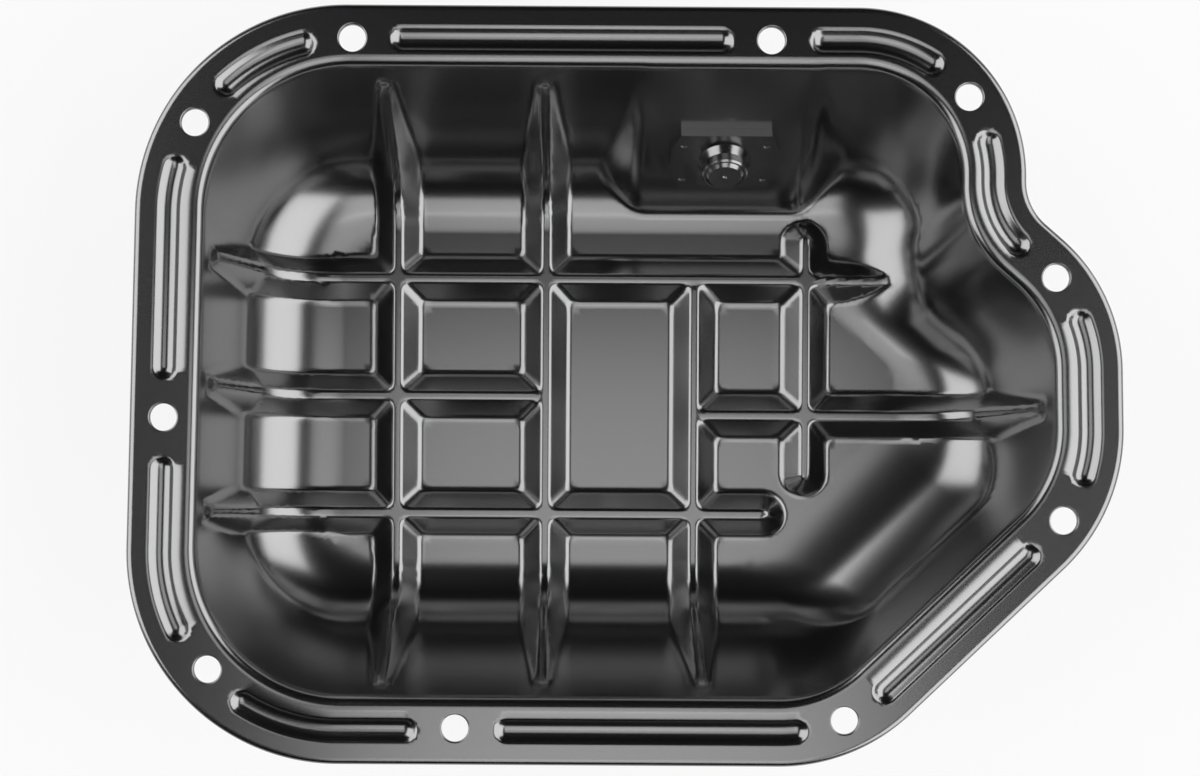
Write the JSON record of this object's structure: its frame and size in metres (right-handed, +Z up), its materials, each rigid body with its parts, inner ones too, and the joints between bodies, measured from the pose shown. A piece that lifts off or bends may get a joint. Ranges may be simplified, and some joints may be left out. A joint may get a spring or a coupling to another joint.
{
  "type": "engine oil pan",
  "caption": "Shallow drawn steel lower oil pan: grooved bolt flange on top, ribbed floor, and a drain plug in a welded nut plate on the sloped wall.",
  "frame": {"origin": "under the middle of the flange's outline, at the level of the floor's underside", "axes": "+Z up out of the pan's open mouth, +X along the long way towards the narrow stepped end, +Y towards the drain wall"},
  "size_m": [0.2929, 0.2232, 0.0636],
  "materials": {
    "coated_steel": "black electrocoat, satin gloss",
    "plug_steel": "black coated steel",
    "washer_metal": "plain soft aluminium"
  },
  "bodies": {
    "pan": {"pan": "coated_steel", "drain_nut_plate": "coated_steel"},
    "washer": {"plug_gasket": "washer_metal"},
    "plug": {"drain_plug": "plug_steel"}
  },
  "joints": [
    {"name": "plug_travel", "type": "slide", "parent": "pan", "child": "washer", "axis": [0, 0.8704, -0.4924], "range_m": [0, 0.0125]},
    {"name": "plug_turn", "type": "hinge", "parent": "washer", "child": "plug", "pos_m": [0.0313, 0.07501, 0.0271], "axis": [0, 0.8704, -0.4924], "range_deg": [0, 3600]}
  ],
  "couplings": [
    {"joint": "plug_turn", "follows": "plug_travel", "rad_per_m": 5026.5}
  ]
}
